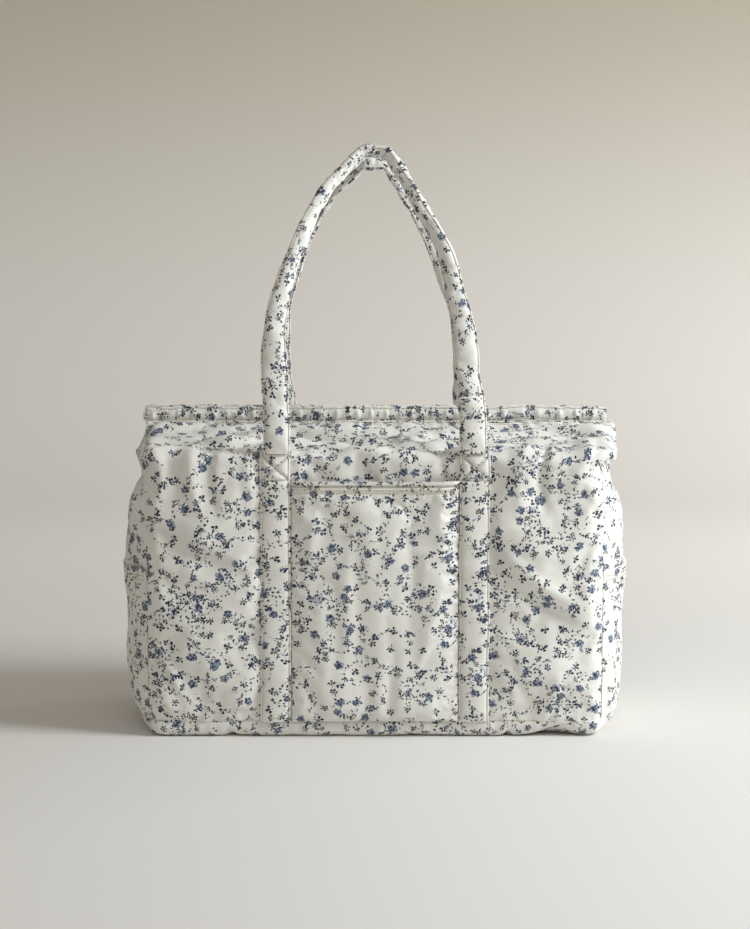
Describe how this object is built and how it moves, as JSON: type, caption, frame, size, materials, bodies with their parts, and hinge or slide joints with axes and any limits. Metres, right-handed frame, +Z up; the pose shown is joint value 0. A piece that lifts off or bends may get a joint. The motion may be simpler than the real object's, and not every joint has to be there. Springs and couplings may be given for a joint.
{
  "type": "knitting bag",
  "caption": "Soft padded cotton knitting bag with zipped roof, twin raised carrying handles, front patch pocket and elasticated end pockets.",
  "frame": {"origin": "middle of the flat base, on the surface the bag stands on", "axes": "+Z up to the top of the raised handles, -Y out of the pocketed front, +X towards the right of someone facing the front"},
  "size_m": [0.517, 0.2258, 0.5984],
  "materials": {
    "printed_cotton": "quilted cotton with a small printed floral, soft sheen",
    "plain_cotton": "plain woven cotton lining and thread",
    "wadding": "soft polyester wadding",
    "zip_tape": "woven tape",
    "zip_coil": "nylon coil, satin",
    "zip_metal": "satin metal",
    "elastic": "knitted elastic"
  },
  "bodies": {
    "bag": {"back_panel": "printed_cotton", "back_strap_left": "printed_cotton", "back_strap_right": "printed_cotton", "back_wadding": "wadding", "bottom_panel": "printed_cotton", "bottom_wadding": "wadding", "front_panel": "printed_cotton", "front_pocket": "printed_cotton", "front_pocket_hem": "printed_cotton", "front_strap_left": "printed_cotton", "front_strap_right": "printed_cotton", "front_wadding": "wadding", "left_gusset": "printed_cotton", "left_gusset_fold": "printed_cotton", "left_pocket_elastic": "elastic", "left_pocket_hem": "printed_cotton", "left_side_pocket": "printed_cotton", "left_wadding": "wadding", "lining": "plain_cotton", "right_gusset": "printed_cotton", "right_gusset_fold": "printed_cotton", "right_pocket_elastic": "elastic", "right_pocket_hem": "printed_cotton", "right_side_pocket": "printed_cotton", "right_wadding": "wadding"},
    "front_flap": {"front_roof_panel": "printed_cotton", "front_roof_wadding": "wadding", "front_roof_lining": "plain_cotton", "front_zip_band": "printed_cotton", "front_zip_tape": "zip_tape", "front_zip_coil": "zip_coil", "front_top_stop": "zip_metal", "zip_bottom_stop": "zip_metal"},
    "back_flap": {"back_roof_panel": "printed_cotton", "back_roof_wadding": "wadding", "back_roof_lining": "plain_cotton", "back_zip_band": "printed_cotton", "back_zip_tape": "zip_tape", "back_zip_coil": "zip_coil", "back_top_stop": "zip_metal"},
    "front_handle": {"front_handle": "printed_cotton", "front_handle_core": "wadding"},
    "back_handle": {"back_handle": "printed_cotton", "back_handle_core": "wadding"},
    "zip_slider": {"zip_slider": "zip_metal"},
    "zip_pull": {"zip_pull": "zip_metal"}
  },
  "joints": [
    {"name": "front_mouth", "type": "hinge", "parent": "bag", "child": "front_flap", "pos_m": [0, -0.103, 0.289], "axis": [1, 0, 0], "range_deg": [0, 45]},
    {"name": "back_mouth", "type": "hinge", "parent": "bag", "child": "back_flap", "pos_m": [0, 0.103, 0.289], "axis": [-1, 0, 0], "range_deg": [0, 45]},
    {"name": "zip_slide", "type": "slide", "parent": "front_flap", "child": "zip_slider", "axis": [1, 0, 0], "range_m": [0, 0.436]},
    {"name": "zip_pull_hinge", "type": "hinge", "parent": "zip_slider", "child": "zip_pull", "pos_m": [-0.218, 0, 0.3151], "axis": [0, -1, 0], "range_deg": [0, 170]},
    {"name": "front_handle_swing", "type": "hinge", "parent": "bag", "child": "front_handle", "pos_m": [0, -0.1135, 0.289], "axis": [1, 0, 0], "range_deg": [0, 150]},
    {"name": "back_handle_swing", "type": "hinge", "parent": "bag", "child": "back_handle", "pos_m": [0, 0.1135, 0.289], "axis": [-1, 0, 0], "range_deg": [0, 150]}
  ],
  "couplings": [
    {"joint": "back_mouth", "follows": "front_mouth", "ratio": 1},
    {"joint": "zip_slide", "follows": "front_mouth", "m_per_rad": 0.555}
  ]
}
